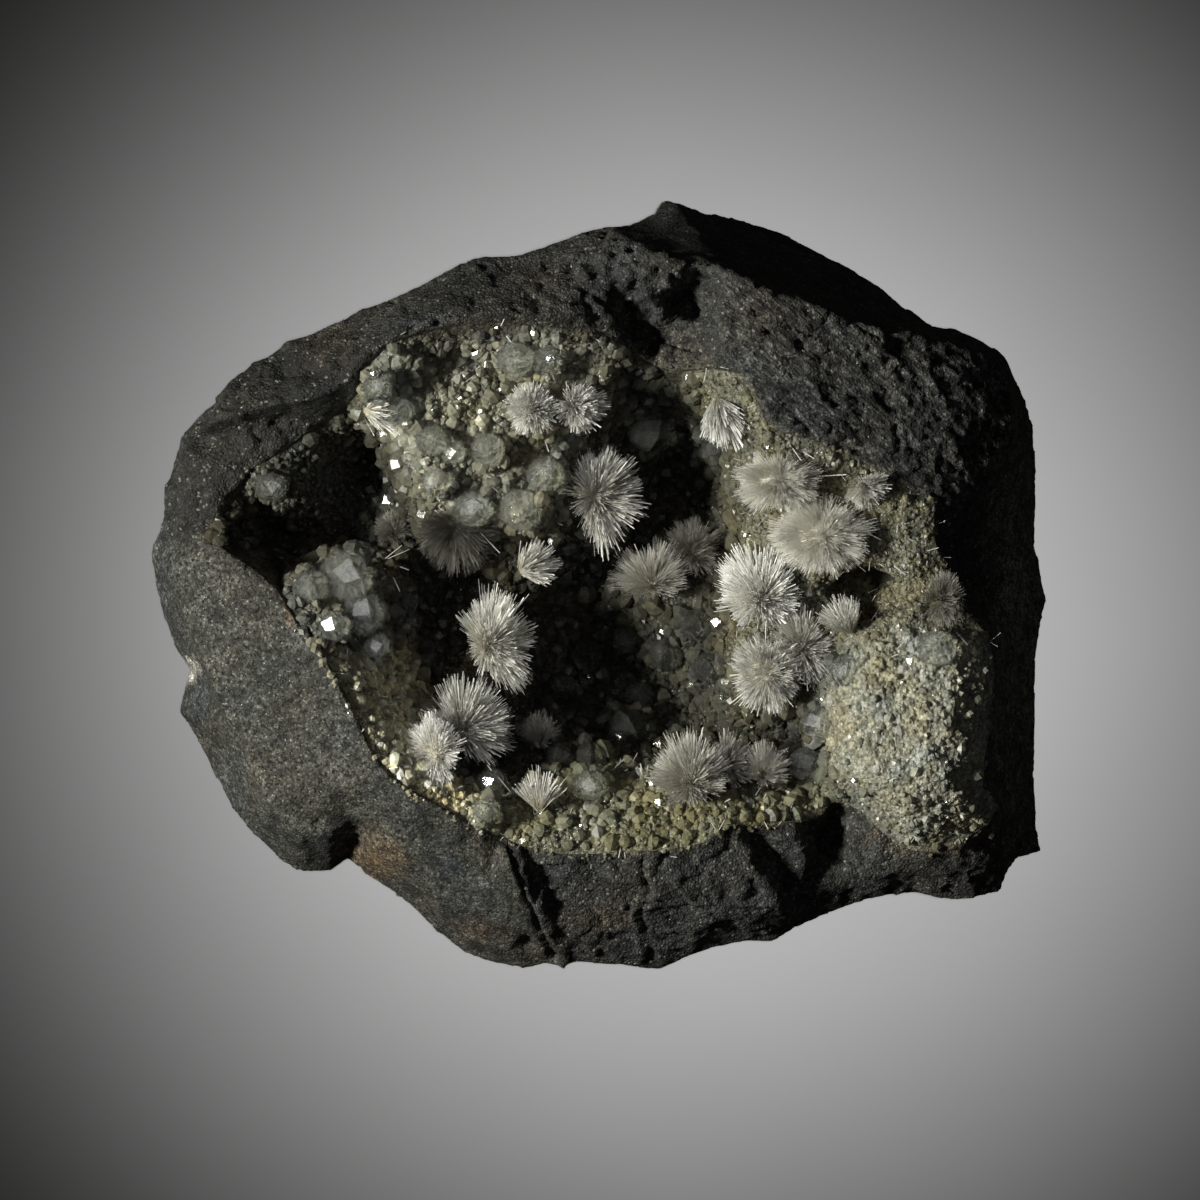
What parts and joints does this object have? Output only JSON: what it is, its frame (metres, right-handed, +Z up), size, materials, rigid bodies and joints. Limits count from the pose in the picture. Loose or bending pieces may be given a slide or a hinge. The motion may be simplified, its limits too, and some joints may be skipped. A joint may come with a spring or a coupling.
{
  "type": "natrolite with analcime",
  "caption": "Broken dark basalt with an open vug lined by clear analcime crystals and radiating sprays of white natrolite needles.",
  "frame": {"origin": "middle of the base: the centre of the bounding box in plan, at the flat back that the stone rests on", "axes": "+Z up, out of the face that holds the vug; +X to the right and +Y towards the top of the picture"},
  "size_m": [0.112, 0.0964, 0.0485],
  "materials": {
    "basalt": "rough broken stone with a fine sparkling grain",
    "analcime": "clear to milky crystals with bright flat faces",
    "natrolite": "thin glassy white needles"
  },
  "bodies": {
    "root": {"basalt": "basalt", "analcime_crust": "analcime", "natrolite_spray_corner": "natrolite", "natrolite_spray_platform_left": "natrolite", "natrolite_spray_platform_right": "natrolite", "natrolite_spray_hanging": "natrolite", "natrolite_spray_cave_left": "natrolite", "natrolite_spray_under_platform": "natrolite", "natrolite_spray_small_fan": "natrolite", "natrolite_spray_left_ball": "natrolite", "natrolite_spray_middle_fan": "natrolite", "natrolite_spray_middle_back": "natrolite", "natrolite_spray_bright_ball": "natrolite", "natrolite_spray_double_ball_low": "natrolite", "natrolite_spray_double_ball_side": "natrolite", "natrolite_spray_wall_upper": "natrolite", "natrolite_spray_wall_lower": "natrolite", "natrolite_spray_top_right": "natrolite", "natrolite_spray_rim_tuft": "natrolite", "natrolite_spray_hole_fan": "natrolite", "natrolite_spray_right_rim": "natrolite", "natrolite_spray_low_left_fan": "natrolite", "natrolite_spray_low_left_ball": "natrolite", "natrolite_spray_low_back": "natrolite", "natrolite_spray_clear_fan": "natrolite", "natrolite_spray_needle_tuft": "natrolite", "natrolite_spray_ledge_ball": "natrolite", "natrolite_spray_ledge_side": "natrolite", "natrolite_spray_ledge_small": "natrolite"}
  },
  "joints": []
}
